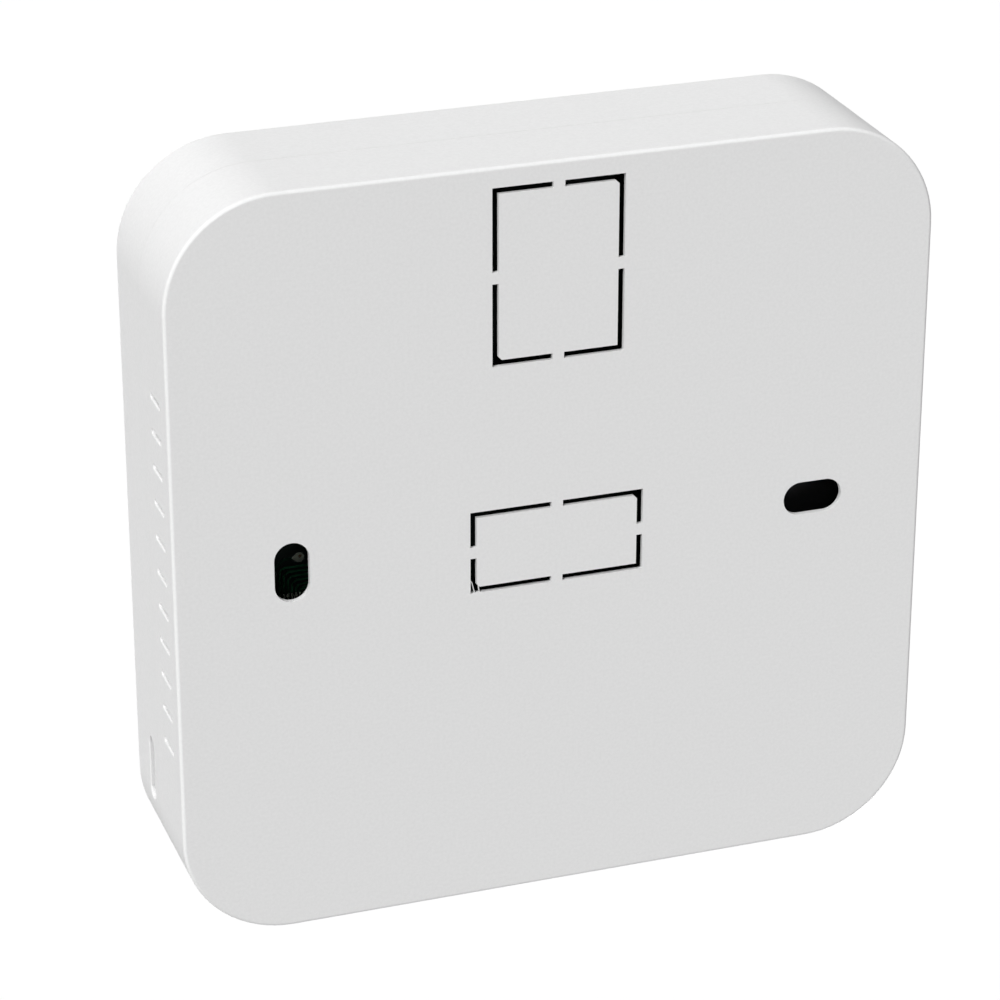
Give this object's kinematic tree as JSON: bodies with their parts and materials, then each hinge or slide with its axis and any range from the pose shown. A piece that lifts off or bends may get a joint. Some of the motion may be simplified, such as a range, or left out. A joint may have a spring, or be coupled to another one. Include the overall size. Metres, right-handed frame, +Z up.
{
  "type": "boiler thermostat",
  "caption": "Square wall-mounted boiler thermostat in two white half shells: screw slots, knock-outs and vents behind, display and push keys in front, relay and terminals inside.",
  "frame": {"origin": "middle of the rear face, which lies flat on the wall", "axes": "+X to the right and +Z up as seen from the room, +Y into the wall; the front faces -Y"},
  "size_m": [0.086, 0.02, 0.086],
  "materials": {
    "shell_plastic": "fine moulded texture",
    "key_plastic": "satin",
    "frame_plastic": "satin",
    "window_acrylic": "polished",
    "display_glass": "polished",
    "light_guide_acrylic": "polished",
    "lamp_resin": "clear resin",
    "strip_rubber": "matt",
    "board_laminate": "solder mask",
    "zinc_steel": "zinc plated",
    "tinned_copper": "tinned",
    "cage_brass": "plain",
    "soft_iron": "plain",
    "switch_plastic": "moulded",
    "terminal_plastic": "moulded",
    "relay_plastic": "moulded",
    "copper_winding": "enamelled wire",
    "ferrite": "sintered",
    "winding_tape": "polyester tape",
    "capacitor_sleeve": "shrunk sleeve",
    "film_capacitor_resin": "moulded",
    "varistor_coating": "dipped",
    "resistor_lacquer": "lacquered",
    "chip_resin": "moulded",
    "sensor_resin": "dipped"
  },
  "bodies": {
    "rear_unit": {"rear_shell": "shell_plastic", "snap_arms": "shell_plastic"},
    "front_unit": {"front_shell": "shell_plastic", "display_window": "window_acrylic", "lcd_frame": "frame_plastic", "lcd_cell": "display_glass", "light_guide": "light_guide_acrylic", "backlight_leds": "lamp_resin", "contact_strip": "strip_rubber", "main_board": "board_laminate", "board_screws": "zinc_steel", "switch_bases": "switch_plastic", "switch_covers": "zinc_steel", "switch_leads": "tinned_copper", "terminal_block": "terminal_plastic", "terminal_contacts": "tinned_copper", "relay_case": "relay_plastic", "relay_base": "relay_plastic", "relay_coil": "copper_winding", "relay_yoke": "soft_iron", "relay_pins": "tinned_copper", "transformer_core": "ferrite", "transformer_winding": "winding_tape", "transformer_pins": "tinned_copper", "bulk_capacitor": "capacitor_sleeve", "output_capacitor": "capacitor_sleeve", "filter_capacitor": "film_capacitor_resin", "varistor": "varistor_coating", "fuse_resistor": "resistor_lacquer", "bridge_rectifier": "chip_resin", "controller_chip": "chip_resin", "controller_leads": "tinned_copper", "clock_crystal": "zinc_steel", "temperature_sensor": "sensor_resin", "chip_parts": "chip_resin"},
    "key_minus": {"key_minus": "key_plastic", "switch_plunger_minus": "switch_plastic"},
    "key_set": {"key_set": "key_plastic", "switch_plunger_set": "switch_plastic"},
    "key_plus": {"key_plus": "key_plastic", "switch_plunger_plus": "switch_plastic"},
    "terminal_screw_1": {"terminal_screw_1": "zinc_steel"},
    "clamp_cage_1": {"clamp_cage_1": "cage_brass"},
    "terminal_screw_2": {"terminal_screw_2": "zinc_steel"},
    "clamp_cage_2": {"clamp_cage_2": "cage_brass"},
    "terminal_screw_3": {"terminal_screw_3": "zinc_steel"},
    "clamp_cage_3": {"clamp_cage_3": "cage_brass"},
    "terminal_screw_4": {"terminal_screw_4": "zinc_steel"},
    "clamp_cage_4": {"clamp_cage_4": "cage_brass"},
    "terminal_screw_5": {"terminal_screw_5": "zinc_steel"},
    "clamp_cage_5": {"clamp_cage_5": "cage_brass"},
    "relay_armature": {"relay_armature": "soft_iron"}
  },
  "joints": [
    {"name": "front_release", "type": "slide", "parent": "rear_unit", "child": "front_unit", "axis": [0, -1, 0], "range_m": [0, 0.03], "deforming": ["snap_arms"]},
    {"name": "press_key_minus", "type": "slide", "parent": "front_unit", "child": "key_minus", "axis": [0, 1, 0], "range_m": [0, 0.00025], "stiffness_N_per_m": 5000},
    {"name": "press_key_set", "type": "slide", "parent": "front_unit", "child": "key_set", "axis": [0, 1, 0], "range_m": [0, 0.00025], "stiffness_N_per_m": 5000},
    {"name": "press_key_plus", "type": "slide", "parent": "front_unit", "child": "key_plus", "axis": [0, 1, 0], "range_m": [0, 0.00025], "stiffness_N_per_m": 5000},
    {"name": "turn_terminal_screw_1", "type": "hinge", "parent": "front_unit", "child": "terminal_screw_1", "pos_m": [-0.01016, -0.003, -0.017], "axis": [0, -1, 0], "range_deg": [0, 1296]},
    {"name": "lift_clamp_cage_1", "type": "slide", "parent": "front_unit", "child": "clamp_cage_1", "axis": [0, 1, 0], "range_m": [0, 0.0018]},
    {"name": "turn_terminal_screw_2", "type": "hinge", "parent": "front_unit", "child": "terminal_screw_2", "pos_m": [-0.00508, -0.003, -0.017], "axis": [0, -1, 0], "range_deg": [0, 1296]},
    {"name": "lift_clamp_cage_2", "type": "slide", "parent": "front_unit", "child": "clamp_cage_2", "axis": [0, 1, 0], "range_m": [0, 0.0018]},
    {"name": "turn_terminal_screw_3", "type": "hinge", "parent": "front_unit", "child": "terminal_screw_3", "pos_m": [0, -0.003, -0.017], "axis": [0, -1, 0], "range_deg": [0, 1296]},
    {"name": "lift_clamp_cage_3", "type": "slide", "parent": "front_unit", "child": "clamp_cage_3", "axis": [0, 1, 0], "range_m": [0, 0.0018]},
    {"name": "turn_terminal_screw_4", "type": "hinge", "parent": "front_unit", "child": "terminal_screw_4", "pos_m": [0.00508, -0.003, -0.017], "axis": [0, -1, 0], "range_deg": [0, 1296]},
    {"name": "lift_clamp_cage_4", "type": "slide", "parent": "front_unit", "child": "clamp_cage_4", "axis": [0, 1, 0], "range_m": [0, 0.0018]},
    {"name": "turn_terminal_screw_5", "type": "hinge", "parent": "front_unit", "child": "terminal_screw_5", "pos_m": [0.01016, -0.003, -0.017], "axis": [0, -1, 0], "range_deg": [0, 1296]},
    {"name": "lift_clamp_cage_5", "type": "slide", "parent": "front_unit", "child": "clamp_cage_5", "axis": [0, 1, 0], "range_m": [0, 0.0018]},
    {"name": "rock_relay_armature", "type": "hinge", "parent": "front_unit", "child": "relay_armature", "pos_m": [-0.02495, -0.005, -0.017], "axis": [0, 0, -1], "range_deg": [0, 5], "stiffness_Nm_per_rad": 0.004, "springref_deg": -6.88}
  ],
  "couplings": [
    {"joint": "turn_terminal_screw_1", "follows": "lift_clamp_cage_1", "rad_per_m": 12566},
    {"joint": "turn_terminal_screw_2", "follows": "lift_clamp_cage_2", "rad_per_m": 12566},
    {"joint": "turn_terminal_screw_3", "follows": "lift_clamp_cage_3", "rad_per_m": 12566},
    {"joint": "turn_terminal_screw_4", "follows": "lift_clamp_cage_4", "rad_per_m": 12566},
    {"joint": "turn_terminal_screw_5", "follows": "lift_clamp_cage_5", "rad_per_m": 12566}
  ]
}
